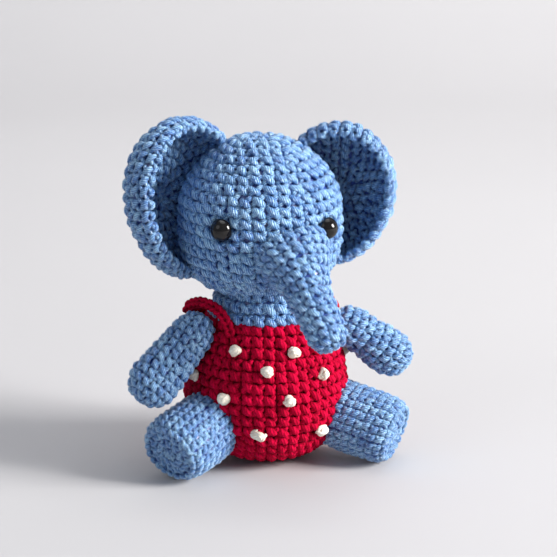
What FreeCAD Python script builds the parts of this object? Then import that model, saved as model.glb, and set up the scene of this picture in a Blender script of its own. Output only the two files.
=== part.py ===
import FreeCAD, Part
import os
import math
import Sketcher

# Sitting crocheted elephant, worked from yarn and filled with fibre.
# Frame: +Z up, the elephant faces -Y, +X is its own left side, millimetres.
# Origin: centre of the small flat under the body, on the surface it sits on.

V = FreeCAD.Vector
doc = FreeCAD.newDocument("elephant")
sheet = doc.addObject("Spreadsheet::Sheet", "Sizes")
sheet.Label = "Sizes"
row_number = [0]
value = {}


def cell(alias, number):
    """One driving dimension: its name in column A, its value in column B."""
    row_number[0] += 1
    n = row_number[0]
    sheet.set("A%d" % n, alias)
    sheet.set("B%d" % n, str(number))
    sheet.setAlias("B%d" % n, alias)
    value[alias] = float(number)
    return "Sizes." + alias


# ---------------------------------------------------------------- main places
for alias, number in (
    ("head_x", -2.5), ("head_y", 1.0), ("head_z", 90.0), ("head_radius", 28.5),
    ("skin_thick", 3.0), ("gap_fill", 0.2), ("clear_more", 3.0),
    ("neck_ring_radius", 10.5), ("neck_ring_yarn", 0.9), ("neck_ring_z", 62.15),
    ("eye_turn_left", 39.6), ("eye_turn_right", 41.5), ("eye_rise_left", -0.04), ("eye_rise_right", 0.012),
    ("eye_radius", 4.0), ("eye_lip", 0.45), ("eye_ball", 4.03), ("eye_under", 3.7), ("eye_post", 1.3),
    ("eye_post_long", 9.0),
    ("post_radius", 1.3), ("washer_radius", 5.2),
    ("washer_thick", 1.2), ("washer_bore", 1.35),
    ("trunk_x", 1.5), ("trunk_y", -26.5), ("trunk_z", 82.5),
    ("trunk_tip_x", 8.2), ("trunk_tip_y", -47.5), ("trunk_tip_z", 59.0),
    ("ear_round_right", 28.4), ("ear_x_right", -26.6), ("ear_y_right", 5.9), ("ear_z_right", 97.2),
    ("ear_turn_deg_right", 32.0),
    ("ear_round_left", 25.8), ("ear_x_left", 21.8), ("ear_y_left", 4.9), ("ear_z_left", 95.9),
    ("ear_turn_deg_left", 22.0), ("ear_depth", 13.0), ("ear_inner_side", 16.0),
    ("strap_yarn", 1.7),
    ("leg_splay_deg", 52.4), ("leg_slope_deg", 15.5), ("leg_length", 26.0), ("leg_radius", 12.2),
    ("sole_x", 40.7), ("sole_y", -23.0), ("limb_gap", 2.3),
    ("knot_radius", 2.3),
):
    cell(alias, number)


def plane(body, role):
    return [o for o in body.Origin.OriginFeatures if o.Role == role][0]


def turned(label, prefix, points, placement=None):
    """A body turned about its own Z axis from a closed outline.

    points are (radius, height) pairs; each becomes a pair of cells in the sheet,
    and each corner of the sketch is tied to its cells."""
    body = doc.addObject("PartDesign::Body", label)
    sk = body.newObject("Sketcher::SketchObject", label + "_outline")
    sk.AttachmentSupport = [(plane(body, "XZ_Plane"), "")]
    sk.MapMode = "FlatFace"
    n = len(points)
    for i in range(n):
        a, b = points[i], points[(i + 1) % n]
        sk.addGeometry(Part.LineSegment(V(a[0], a[1], 0), V(b[0], b[1], 0)), False)
    for i in range(n):
        sk.addConstraint(Sketcher.Constraint("Coincident", i, 2, (i + 1) % n, 1))
    for i in range(n):
        r_cell = cell("%s_out_%02d" % (prefix, i), points[i][0])
        z_cell = cell("%s_up_%02d" % (prefix, i), points[i][1])
        if abs(points[i][0]) < 1e-9:
            sk.addConstraint(Sketcher.Constraint("PointOnObject", i, 1, -2))
        else:
            k = sk.addConstraint(Sketcher.Constraint("DistanceX", -1, 1, i, 1, points[i][0]))
            sk.setExpression("Constraints[%d]" % k, r_cell)
        if abs(points[i][1]) < 1e-9:
            sk.addConstraint(Sketcher.Constraint("PointOnObject", i, 1, -1))
        elif points[i][1] > 0:
            k = sk.addConstraint(Sketcher.Constraint("DistanceY", -1, 1, i, 1, points[i][1]))
            sk.setExpression("Constraints[%d]" % k, z_cell)
        else:
            k = sk.addConstraint(Sketcher.Constraint("DistanceY", i, 1, -1, 1, -points[i][1]))
            sk.setExpression("Constraints[%d]" % k, "0 - " + z_cell)
    rev = body.newObject("PartDesign::Revolution", label + "_turned")
    rev.Profile = sk
    rev.ReferenceAxis = (sk, ["V_Axis"])
    rev.Angle = 360.0
    body.Tip = rev
    if placement is not None:
        body.Placement = placement
    return body


def along(start, end, roll=0.0):
    """Places a piece whose own +Z runs from start towards end."""
    d = V(*end) - V(*start)
    return FreeCAD.Placement(V(*start), FreeCAD.Rotation(V(0, 0, 1), d))


def primitive(kind, label, sizes, placement=None):
    o = doc.addObject(kind, label)
    for prop, expression in sizes.items():
        if isinstance(expression, str):
            o.setExpression(prop, expression)
        else:
            setattr(o, prop, expression)
    if placement is not None:
        o.Placement = placement
    return o


def cut(label, base, tool):
    o = doc.addObject("Part::Cut", label)
    o.Base = base
    o.Tool = tool
    return o


parts = {}


def inset(points, by):
    """The outline of the filling: the skin's outer outline drawn in by the skin's thickness."""
    out = []
    n = len(points)
    for i in range(n):
        a = points[max(i - 1, 0)]
        b = points[min(i + 1, n - 1)]
        tx, tz = b[0] - a[0], b[1] - a[1]
        length = math.hypot(tx, tz)
        nx, nz = -tz / length, tx / length
        r, z = points[i][0] + nx * by, points[i][1] + nz * by
        if points[i][0] < 1e-9:
            r, z = 0.0, points[i][1] + (by if i == 0 else -by)
        out.append((max(r, 0.0), z))
    return out


# ---------------------------------------------------------------- body
# One crocheted skin in two yarns: red below, blue above, joined at a colour-change
# round. Outline of the outside, from the flat it sits on up to the neck.
skin = value["skin_thick"]
body_out = [(0.0, 0.0), (7.0, 0.0), (16.0, 2.9), (22.0, 7.0), (26.2, 13.2), (28.3, 21.0),
            (28.6, 29.0), (27.6, 37.0), (25.2, 45.0), (21.6, 53.0)]
body_in = inset(body_out, skin)
change_z = 53.0
low = body_out + [(body_in[-1][0], 53.0)] + list(reversed(body_in[:-1]))
parts["body_lower"] = turned("body_lower", "low", low)

upper_out = [(21.55, 53.05), (19.4, 57.0), (18.0, 61.0)]
upper_in = [(12.0, 61.0), (14.9, 57.0), (18.5, 53.05)]
parts["body_upper"] = turned("body_upper", "upper", upper_out + upper_in)

fill = value["gap_fill"]
fill_out = inset(body_out, skin + fill)[:-1] + [(18.2, 52.9), (14.6, 56.8), (11.8, 60.8), (0.0, 60.8)]
parts["body_stuffing"] = turned("body_stuffing", "bodyfill", fill_out)

# ---------------------------------------------------------------- head
# Round above, fuller cheeks below, open at the neck. Heights are from the head's centre.
R = value["head_radius"]
head_out = [(0.0, R)]
for deg in (75, 60, 45, 30, 15, 0):
    head_out.append((R * math.cos(math.radians(deg)), R * math.sin(math.radians(deg))))
head_out += [(28.4, -7.0), (27.3, -13.5), (24.6, -19.0), (20.2, -23.2), (15.0, -25.2)]
head_mid = [(p[0], p[1]) for p in head_out]
head_in = inset(head_out[:-1], -skin)
head_in[0] = (0.0, R - skin)
head_ring = head_out + [(12.6, -23.6)] + [(max(p[0], 0.0), p[1]) for p in reversed(head_in)]
head_place = FreeCAD.Placement(V(value["head_x"], value["head_y"], value["head_z"]), FreeCAD.Rotation())
head_body = turned("head_skin", "head", head_ring, head_place)

head_fill = inset(head_out[:-1], -(skin + fill))
head_fill[0] = (0.0, R - skin - fill)
head_fill = head_fill + [(12.3, -23.3), (0.0, -23.3)]
fill_body = turned("head_filling", "headfill", head_fill, head_place)

head_clear = primitive("Part::Sphere", "head_clearance", {"Radius": "Sizes.head_radius + Sizes.clear_more"},
                       FreeCAD.Placement(V(value["head_x"], value["head_y"], value["head_z"] - 2.0),
                                         FreeCAD.Rotation()))

# ---------------------------------------------------------------- safety eyes
# A domed button on a post that goes through the skin, held by a washer inside.


def button_eye(label, placement):
    """A round domed button on its post, turned about its own Z axis.

    +Z points out of the head, with zero at the underside of the dome."""
    wide, lip, ball = value["eye_radius"], value["eye_lip"], value["eye_ball"]
    under, post, long = value["eye_under"], value["eye_post"], value["eye_post_long"]
    low = lip - math.sqrt(ball ** 2 - wide ** 2)
    body = doc.addObject("PartDesign::Body", label)
    sk = body.newObject("Sketcher::SketchObject", label + "_outline")
    sk.AttachmentSupport = [(plane(body, "XZ_Plane"), "")]
    sk.MapMode = "FlatFace"
    corners = [(0.0, -long), (post, -long), (post, 0.0), (under, 0.0), (wide, lip)]
    for a, b in zip(corners[:-1], corners[1:]):
        sk.addGeometry(Part.LineSegment(V(a[0], a[1], 0), V(b[0], b[1], 0)), False)
    sk.addGeometry(Part.ArcOfCircle(Part.Circle(V(0, low, 0), V(0, 0, 1), ball),
                                    math.atan2(lip - low, wide), math.pi / 2), False)
    sk.addGeometry(Part.LineSegment(V(0, low + ball, 0), V(0, -long, 0)), False)
    for i in range(6):
        sk.addConstraint(Sketcher.Constraint("Coincident", i, 2, (i + 1) % 6, 1))
    sk.addConstraint(Sketcher.Constraint("PointOnObject", 0, 1, -2))
    sk.addConstraint(Sketcher.Constraint("Horizontal", 0))
    sk.addConstraint(Sketcher.Constraint("Vertical", 1))
    sk.addConstraint(Sketcher.Constraint("PointOnObject", 2, 1, -1))
    sk.addConstraint(Sketcher.Constraint("Horizontal", 2))
    sk.addConstraint(Sketcher.Constraint("PointOnObject", 4, 3, -2))
    sk.addConstraint(Sketcher.Constraint("PointOnObject", 5, 1, -2))
    for rule, cell_name, size in (
            (("DistanceY", 0, 1, -1, 1), "eye_post_long", long), (("DistanceX", -1, 1, 1, 1), "eye_post", post),
            (("DistanceX", -1, 1, 3, 1), "eye_under", under), (("DistanceX", -1, 1, 4, 1), "eye_radius", wide),
            (("DistanceY", -1, 1, 4, 1), "eye_lip", lip), (("Radius", 4), "eye_ball", ball)):
        k = sk.addConstraint(Sketcher.Constraint(*rule, size))
        sk.setExpression("Constraints[%d]" % k, "Sizes." + cell_name)
    rev = body.newObject("PartDesign::Revolution", label + "_turned")
    rev.Profile = sk
    rev.ReferenceAxis = (sk, ["V_Axis"])
    rev.Angle = 360.0
    body.Tip = rev
    body.Placement = placement
    return body


eyes = {}
head_tools, fill_tools = [], []
for side, sign in (("left", 1), ("right", -1)):
    turn = math.radians(value["eye_turn_" + side])
    out = V(sign * math.sin(turn), -math.cos(turn), value["eye_rise_" + side])
    out.normalize()
    centre = V(value["head_x"], value["head_y"], value["head_z"])
    seat = centre + out * (R + 0.15)
    place = FreeCAD.Placement(seat, FreeCAD.Rotation(V(0, 0, 1), out))
    parts["eye_" + side] = button_eye("eye_" + side, place)
    back = FreeCAD.Placement(seat - out * 10.0, FreeCAD.Rotation(V(0, 0, 1), out))
    hole = primitive("Part::Cylinder", "eye_hole_" + side,
                     {"Radius": "Sizes.post_radius + 0.1", "Height": 12.0}, back)
    head_tools.append(hole)
    far = FreeCAD.Placement(seat - out * 5.1, FreeCAD.Rotation(V(0, 0, 1), out))
    disc = primitive("Part::Cylinder", "washer_disc_" + side,
                     {"Radius": "Sizes.washer_radius", "Height": "Sizes.washer_thick"}, far)
    bore = primitive("Part::Cylinder", "washer_hole_" + side,
                     {"Radius": "Sizes.washer_bore", "Height": "Sizes.washer_thick"}, far)
    parts["eye_washer_" + side] = cut("eye_washer_" + side, disc, bore)
    pocket_at = FreeCAD.Placement(seat - out * 10.0, FreeCAD.Rotation(V(0, 0, 1), out))
    pocket = primitive("Part::Cylinder", "washer_pocket_" + side,
                       {"Radius": "Sizes.washer_radius + 0.3", "Height": 9.0}, pocket_at)
    fill_tools.append(pocket)
head_one = cut("head_one_hole", head_body, head_tools[0])
parts["head_shell"] = cut("head_shell", head_one, head_tools[1])
fill_one = cut("filling_one_pocket", fill_body, fill_tools[0])
parts["head_stuffing"] = cut("head_stuffing", fill_one, fill_tools[1])

# the round of sewing yarn between the head and the body
parts["neck_seam"] = primitive(
    "Part::Torus", "neck_seam",
    {"Radius1": "Sizes.neck_ring_radius", "Radius2": "Sizes.neck_ring_yarn"},
    FreeCAD.Placement(V(value["head_x"], value["head_y"], value["neck_ring_z"]), FreeCAD.Rotation()))

# ---------------------------------------------------------------- trunk
# A tapering tube closed at the tip. Its wide base end is crowned, so that it can lift.
base = (value["trunk_x"], value["trunk_y"], value["trunk_z"])
tip = (value["trunk_tip_x"], value["trunk_tip_y"], value["trunk_tip_z"])
length = (V(*tip) - V(*base)).Length
trunk_out = [(0.0, -5.0), (12.6, -5.0), (12.6, 5.5), (11.2, 9.5), (9.6, 14.5), (8.6, 20.0),
             (8.0, length - 4.0), (7.7, length), (6.7, length + 3.6), (4.2, length + 6.2), (0.0, length + 7.4)]
trunk_in = [(0.0, 9.5), (6.0, 10.0), (6.9, 14.5), (5.9, 20.0), (5.3, length - 3.0),
            (5.0, length), (3.6, length + 2.8), (0.0, length + 4.6)]
trunk_place = along(base, tip)
trunk_skin = turned("trunk_skin", "trunk", trunk_out, trunk_place)
trunk_hollow = turned("trunk_hollow", "trunkin", trunk_in, trunk_place)
trunk_fitted = cut("trunk_fitted", trunk_skin, head_clear)
parts["trunk"] = cut("trunk", trunk_fitted, trunk_hollow)
trunk_fill = [(max(r - 0.2, 0.0), z + (0.3 if z < 11 else -0.3 if z > length + 2 else 0.0)) for r, z in trunk_in]
parts["trunk_stuffing"] = turned("trunk_stuffing", "trunkfill", trunk_fill, trunk_place)

# ---------------------------------------------------------------- ears
# Each ear is a cup of one thick layer that opens forward and towards the face, with a rim
# that curls in a little, sewn to the side of the head.
for side, sign in (("left", 1), ("right", -1)):
    size = value["ear_round_" + side]
    turn = math.radians(value["ear_turn_deg_" + side])
    opens = V(-sign * math.sin(turn), -math.cos(turn), 0.0)
    widest = V(value["ear_x_" + side], value["ear_y_" + side], value["ear_z_" + side])
    mid = widest - opens * value["ear_depth"]
    outside = [(0.0, 0.0), (0.40 * size, 1.2), (0.70 * size, 4.4), (0.90 * size, 8.4), (size, 13.0),
               (0.99 * size, 17.0), (0.955 * size, 20.6)]
    inside = [(0.83 * size, 20.6), (0.85 * size, 16.6), (0.85 * size, 13.2), (0.77 * size, 10.4),
              (0.58 * size, 7.5), (0.34 * size, 5.0), (0.0, 3.9)]
    cup = turned("ear_cup_" + side, "ear" + side, outside + inside,
                 FreeCAD.Placement(mid, FreeCAD.Rotation(V(0, 0, 1), opens)))
    fitted = cut("ear_fitted_" + side, cup, head_clear)
    # nothing of the ear lies nearer the head's middle than this plane
    edge = value["head_x"] + sign * value["ear_inner_side"]
    inner_side = primitive("Part::Box", "ear_inner_side_" + side,
                           {"Length": 60.0, "Width": 120.0, "Height": 120.0},
                           FreeCAD.Placement(V(edge - (60.0 if sign > 0 else 0.0), -60.0, mid.z - 60.0),
                                             FreeCAD.Rotation()))
    parts["ear_" + side] = cut("ear_" + side, fitted, inner_side)

# room kept round the body for the limbs to move in
body_far = inset(body_out, -value["limb_gap"])
body_far[0] = (0.0, -value["limb_gap"])
body_clear = turned("body_clearance", "bodyclear", body_far + [(21.0, 60.0), (0.0, 60.0)])

# ---------------------------------------------------------------- arms
# A stuffed tube, narrow where it is sewn to the shoulder and round at the hand.
arms = {
    "right": ((-26.6, -6.5, 53.0), (-45.0, -12.5, 34.0), 9.2),
    "left": ((26.6, -6.0, 50.5), (43.8, -9.0, 37.8), 8.4),
}
for side, (shoulder, hand, r) in arms.items():
    names = ["shoulder", "hand"]
    for n, point in zip(names, (shoulder, hand)):
        for axis, number in zip("xyz", point):
            cell("arm_%s_%s_%s" % (side, n, axis), number)
    a = [value["arm_%s_shoulder_%s" % (side, c)] for c in "xyz"]
    b = [value["arm_%s_hand_%s" % (side, c)] for c in "xyz"]
    span = (V(*b) - V(*a)).Length
    outline = [(0.0, -3.2), (2.0, -2.6), (3.6, -0.6), (5.2, 3.0), (6.8, 7.0), (r * 0.84, 11.0), (r * 0.94, span - 8.0),
               (r, span - 1.0), (r * 0.96, span + 2.6), (r * 0.74, span + 6.2), (r * 0.4, span + 8.3), (0.0, span + 8.9)]
    core = [(0.0, 7.0), (3.6, 7.6), (r * 0.84 - 2.8, 12.0), (r * 0.94 - 2.6, span - 8.0),
            (r - 2.6, span - 1.0), (r * 0.94 - 2.6, span + 2.0), (r * 0.62 - 2.0, span + 4.6), (0.0, span + 6.0)]
    place = along(a, b)
    whole = turned("arm_skin_" + side, "arm" + side, outline, place)
    hollow = turned("arm_hollow_" + side, "armin" + side, core, place)
    fitted = cut("arm_fitted_" + side, whole, body_clear)
    parts["arm_" + side] = cut("arm_" + side, fitted, hollow)
    filling = [(max(p[0] - 0.2, 0.0), p[1] + (0.3 if p[1] < 8 else -0.3 if p[1] > span + 1 else 0.0)) for p in core]
    parts["arm_stuffing_" + side] = turned("arm_stuffing_" + side, "armfill" + side, filling, place)

# ---------------------------------------------------------------- legs
# A stuffed tube splayed outward and sloping down to a flat round sole, whose rim meets
# the surface. Its upper end follows the body, with room to swing.
rl = value["leg_radius"]
for side, sign in (("left", 1), ("right", -1)):
    splay, slope = math.radians(value["leg_splay_deg"]), math.radians(value["leg_slope_deg"])
    reach = value["leg_length"]
    outline = [(0.0, -4.0), (rl - 0.3, -4.0), (rl, 2.0), (rl, reach - 4.5), (11.6, reach - 1.6),
               (10.3, reach), (0.0, reach)]
    core = [(0.0, 8.2), (7.4, 8.4), (9.2, 12.0), (9.2, reach - 4.6), (8.2, reach - 3.0), (0.0, reach - 3.0)]
    lowest = min(-z * math.sin(slope) - r * math.cos(slope) for r, z in outline)
    d = V(sign * math.sin(splay) * math.cos(slope), -math.cos(splay) * math.cos(slope), -math.sin(slope))
    sole = V(sign * value["sole_x"], value["sole_y"], 0)
    hip = V(sole.x - reach * d.x, sole.y - reach * d.y, -lowest)
    place = FreeCAD.Placement(hip, FreeCAD.Rotation(V(0, 0, 1), d))
    whole = turned("leg_skin_" + side, "leg" + side, outline, place)
    hollow = turned("leg_hollow_" + side, "legin" + side, core, place)
    fitted = cut("leg_fitted_" + side, whole, body_clear)
    parts["leg_" + side] = cut("leg_" + side, fitted, hollow)
    filling = [(max(p[0] - 0.2, 0.0), p[1] + (0.3 if p[1] < 9 else -0.2)) for p in core]
    parts["leg_stuffing_" + side] = turned("leg_stuffing_" + side, "legfill" + side, filling, place)
    print("hip", side, hip, "direction", d)

# ---------------------------------------------------------------- straps
# A crocheted cord over each shoulder, from the front edge of the red part to its back edge.
for side, sign in (("left", 1), ("right", -1)):
    start, top, end = V(sign * 17.2, -14.0, 51.6), V(sign * 27.8, -0.6, 60.3), V(sign * 16.6, 14.8, 51.6)
    circle = Part.Arc(start, top, end).toShape().Curve
    centre = V(circle.Center)
    normal = (top - start).cross(end - top).normalize()
    x_dir = (start - centre).normalize()
    y_dir = normal.cross(x_dir)
    to_end = end - centre
    m = FreeCAD.Matrix(x_dir.x, y_dir.x, normal.x, centre.x, x_dir.y, y_dir.y, normal.y, centre.y,
                       x_dir.z, y_dir.z, normal.z, centre.z, 0, 0, 0, 1)
    sweep = math.degrees(math.atan2(to_end.dot(y_dir), to_end.dot(x_dir))) % 360.0
    cell("strap_arc_radius_" + side, circle.Radius)
    cell("strap_arc_sweep_" + side, sweep)
    parts["strap_" + side] = primitive(
        "Part::Torus", "strap_" + side,
        {"Radius1": "Sizes.strap_arc_radius_" + side, "Radius2": "Sizes.strap_yarn",
         "Angle1": -180.0, "Angle2": 180.0, "Angle3": "Sizes.strap_arc_sweep_" + side},
        FreeCAD.Placement(m))

# ---------------------------------------------------------------- french knots
# Small white knots over the red part: (angle from the front towards the left side, height).
KNOTS = [(-41.2, 45.8), (7.1, 45.4), (-74.7, 34.3), (-15.0, 39.6), (29.4, 36.7), (-45.5, 29.1),
         (0.6, 29.2), (-21.1, 16.7), (30.2, 15.8), (57.0, 44.5), (87.0, 37.5), (104.0, 45.0),
         (116.0, 27.0), (137.0, 39.5), (146.0, 16.5), (165.0, 31.5), (176.0, 45.0), (201.0, 32.5),
         (214.0, 16.0), (221.0, 44.0), (240.0, 28.0), (253.0, 42.0), (100.0, 14.5), (262.0, 15.5)]


def surface_radius(z):
    for (r0, z0), (r1, z1) in zip(body_out, body_out[1:]):
        if z0 <= z <= z1 and z1 > z0:
            return r0 + (r1 - r0) * (z - z0) / (z1 - z0)
    return body_out[-1][0]


knot_list = []
for i, (deg, z) in enumerate(KNOTS):
    a = math.radians(deg)
    r = surface_radius(z) + 0.2
    at = FreeCAD.Placement(V(r * math.sin(a), -r * math.cos(a), z), FreeCAD.Rotation())
    knot_list.append(primitive("Part::Sphere", "knot_%02d" % i, {"Radius": "Sizes.knot_radius"}, at))
knots = doc.addObject("Part::Compound", "knots")
knots.Links = knot_list
parts["knots"] = knots

# ---------------------------------------------------------------- tail
# A short crocheted cord with a rounded end, sewn low on the back.
tail_line = [(0.0, 0.0), (1.6, 0.4), (2.3, 2.0), (2.4, 13.0), (3.4, 15.5), (3.7, 18.0), (2.9, 20.6), (0.0, 22.0)]
parts["tail"] = turned("tail", "tail", tail_line, along((0.0, 29.6, 20.5), (3.5, 46.0, 9.5)))

# ---------------------------------------------------------------- check and write
doc.recompute()
for o in doc.Objects:
    bad = [s for s in o.State if s in ("Invalid", "Error")]
    if bad:
        raise RuntimeError("%s did not compute: %s" % (o.Name, bad))
os.makedirs("parts", exist_ok=True)
for name, o in parts.items():
    o.Label = name if o.Label == name else o.Label
    shape = o.Shape
    if shape.isNull() or not shape.isValid():
        raise RuntimeError(name + " has no valid shape")
    if not shape.Solids:
        raise RuntimeError(name + " has no solid")
    if name != "knots" and len(shape.Solids) != 1:
        raise RuntimeError("%s has %d solids" % (name, len(shape.Solids)))
    shape.exportStep("parts/%s.step" % name)
    b = shape.BoundBox
    print("%-22s %9.1f mm3  x %6.1f %6.1f  y %6.1f %6.1f  z %6.1f %6.1f" % (
        name, shape.Volume, b.XMin, b.XMax, b.YMin, b.YMax, b.ZMin, b.ZMax))
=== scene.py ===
import bpy, math
import numpy as np
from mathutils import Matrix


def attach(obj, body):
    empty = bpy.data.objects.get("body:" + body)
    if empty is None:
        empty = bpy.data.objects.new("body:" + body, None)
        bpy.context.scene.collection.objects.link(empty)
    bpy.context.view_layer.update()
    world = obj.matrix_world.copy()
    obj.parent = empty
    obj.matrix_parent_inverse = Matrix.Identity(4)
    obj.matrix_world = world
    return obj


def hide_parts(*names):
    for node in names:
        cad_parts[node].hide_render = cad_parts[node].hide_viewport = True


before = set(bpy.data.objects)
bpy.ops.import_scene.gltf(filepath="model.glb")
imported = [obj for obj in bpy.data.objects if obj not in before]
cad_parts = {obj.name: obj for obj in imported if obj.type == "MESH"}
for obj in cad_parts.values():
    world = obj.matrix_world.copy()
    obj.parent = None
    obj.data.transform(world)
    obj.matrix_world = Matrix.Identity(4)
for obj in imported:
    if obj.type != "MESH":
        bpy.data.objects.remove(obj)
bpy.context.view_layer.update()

MM = 0.001
TAU = 2.0 * math.pi

# ------------------------------------------------------------------ small maths


def unit(v):
    return v / np.maximum(np.linalg.norm(v, axis=-1, keepdims=True), 1e-12)


def smooth_line(points, n=200):
    """A smooth line through the points (Catmull-Rom), as n points evenly spaced along it."""
    p = np.array(points, float)
    ext = np.vstack([2 * p[0] - p[1], p, 2 * p[-1] - p[-2]])
    out = []
    for i in range(len(p) - 1):
        a, b, c, d = ext[i], ext[i + 1], ext[i + 2], ext[i + 3]
        t = np.linspace(0, 1, 24, endpoint=False)[:, None]
        out.append(0.5 * ((2 * b) + (-a + c) * t + (2 * a - 5 * b + 4 * c - d) * t ** 2
                          + (-a + 3 * b - 3 * c + d) * t ** 3))
    out = np.vstack(out + [p[-1:]])
    step = np.r_[0, np.cumsum(np.linalg.norm(np.diff(out, axis=0), axis=1))]
    want = np.linspace(0, step[-1], n)
    return np.stack([np.interp(want, step, out[:, k]) for k in range(p.shape[1])], 1), step[-1]


def noise3(p, seed, scale):
    """Smooth value noise of the points p, about -1 to 1, made of a few fixed waves."""
    g = np.random.default_rng(seed)
    total = np.zeros(len(p))
    for k in range(7):
        w = g.normal(size=3) / scale
        total += np.sin(p @ w + g.uniform(0, TAU))
    return total / 7 ** 0.5 * 0.8


class Tube:
    """A closed soft form: a round outline carried along an axis, all in millimetres.

    outline is a list of (along, radius) from one end to the other. axis is a list of points that
    the along value follows (0 is the first point, in mm along it). front is roughly the direction
    that angle zero faces. Angles grow to the right, seen from outside with the axis pointing down."""

    def __init__(self, outline, axis, front, shape=None, lumps=0.25, seed=1, dents=()):
        line, self.length = smooth_line(outline, 400)
        self.along, self.radius = line[:, 0], np.maximum(line[:, 1], 0.0)
        self.u = np.linspace(0, self.length, 400)
        ax = np.array(axis, float)
        if len(ax) > 2:
            pts, total = smooth_line(ax, 120)
        else:
            total = np.linalg.norm(ax[1] - ax[0])
            pts = ax[0] + np.linspace(0, 1, 120)[:, None] * (ax[1] - ax[0])
        self.ax_pts, self.ax_len = pts, total
        self.ax_u = np.linspace(0, total, 120)
        d = unit(np.gradient(pts, axis=0))
        self.ax_dir = d
        f = np.array(front, float)
        e1 = unit(f - (d @ f)[:, None] * d)
        self.e1, self.e2 = e1, np.cross(-d, e1)
        self.shape, self.lumps, self.seed, self.dents = shape, lumps, seed, dents

    def axis_at(self, a):
        a = np.asarray(a, float)
        inside = np.clip(a, 0, self.ax_len)
        pick = lambda arr: np.stack([np.interp(inside, self.ax_u, arr[:, k]) for k in range(3)], -1)
        c, d, e1, e2 = pick(self.ax_pts), unit(pick(self.ax_dir)), unit(pick(self.e1)), unit(pick(self.e2))
        return c + (a - inside)[..., None] * d, d, e1, e2

    def place(self, l, phi):
        l = np.clip(np.asarray(l, float), 0, self.length)
        a = np.interp(l, self.u, self.along)
        r = np.interp(l, self.u, self.radius)
        c, d, e1, e2 = self.axis_at(a)
        if self.shape is not None:
            kx, ky, off = self.shape(l / self.length, phi)
        else:
            kx = ky = 1.0
            off = 0.0
        p = c + (r * kx * np.cos(phi))[..., None] * e1 + (r * ky * np.sin(phi))[..., None] * e2
        if np.ndim(off):
            p = p + off
        return p

    def at(self, l, phi, height):
        """Points at a height above the form, with the outward normal there."""
        e, q = 0.35, 0.02
        pl0, pl1 = self.place(l - e, phi), self.place(l + e, phi)
        pq0, pq1 = self.place(l, phi - q), self.place(l, phi + q)
        n = np.cross(pq1 - pq0, pl0 - pl1)
        small = np.linalg.norm(n, axis=-1) < 1e-9
        n = unit(n)
        p = self.place(l, phi)
        if small.any():
            a = np.interp(np.clip(l, 0, self.length), self.u, self.along)
            c, d, _, _ = self.axis_at(a)
            sign = np.where(np.asarray(l) < self.length / 2, -1.0, 1.0)
            n = np.where(small[..., None], d * sign[..., None], n)
        if self.lumps:
            k = noise3(p.reshape(-1, 3), self.seed, 9.0).reshape(p.shape[:-1])
            height = height + self.lumps * k
        for spot, wide, deep in self.dents:
            away = np.linalg.norm(p - np.array(spot), axis=-1)
            height = height - deep * np.clip(1 - (away / wide) ** 3, 0, 1)
        return p + n * np.asarray(height)[..., None], n

    def round_of(self, l):
        """How far round it is at l, in mm."""
        t = np.linspace(0, TAU, 49)
        p = self.place(np.full(49, l), t)
        return np.linalg.norm(np.diff(p, axis=0), axis=1).sum()


# ------------------------------------------------------------------ yarn

# (across, up, height) of the two strands of one stitch, in cells and yarn radii
OVER = np.array([(-0.47, 0.47, -1.5), (-0.38, 0.34, 0.0), (-0.19, 0.15, 0.92), (0.04, -0.03, 1.18),
                 (0.25, -0.22, 1.0), (0.38, -0.38, 0.1), (0.42, -0.50, -1.4)])
UNDER = np.array([(-0.38, -0.52, -1.4), (-0.34, -0.37, 0.25), (-0.25, -0.20, 0.45), (0.00, 0.04, 0.0),
                  (0.26, 0.22, 0.80), (0.37, 0.36, 0.95), (0.44, 0.51, -1.2)])


def reshape(ctrl, across, up, high=1.0):
    """The same strand, drawn in across its cell and stretched up it."""
    return ctrl * np.array([across, up, high])


def spread(ctrl, n):
    """Catmull-Rom through control points (K, m, 3) -> (K, n, 3), evenly in the parameter."""
    K, m, _ = ctrl.shape
    ext = np.concatenate([2 * ctrl[:, :1] - ctrl[:, 1:2], ctrl, 2 * ctrl[:, -1:] - ctrl[:, -2:-1]], 1)
    x = np.linspace(0, m - 1, n)
    i = np.minimum(x.astype(int), m - 2)
    t = (x - i)[None, :, None]
    a, b, c, d = ext[:, i], ext[:, i + 1], ext[:, i + 2], ext[:, i + 3]
    return 0.5 * ((2 * b) + (-a + c) * t + (2 * a - 5 * b + 4 * c - d) * t ** 2 + (-a + 3 * b - 3 * c + d) * t ** 3)


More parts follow.
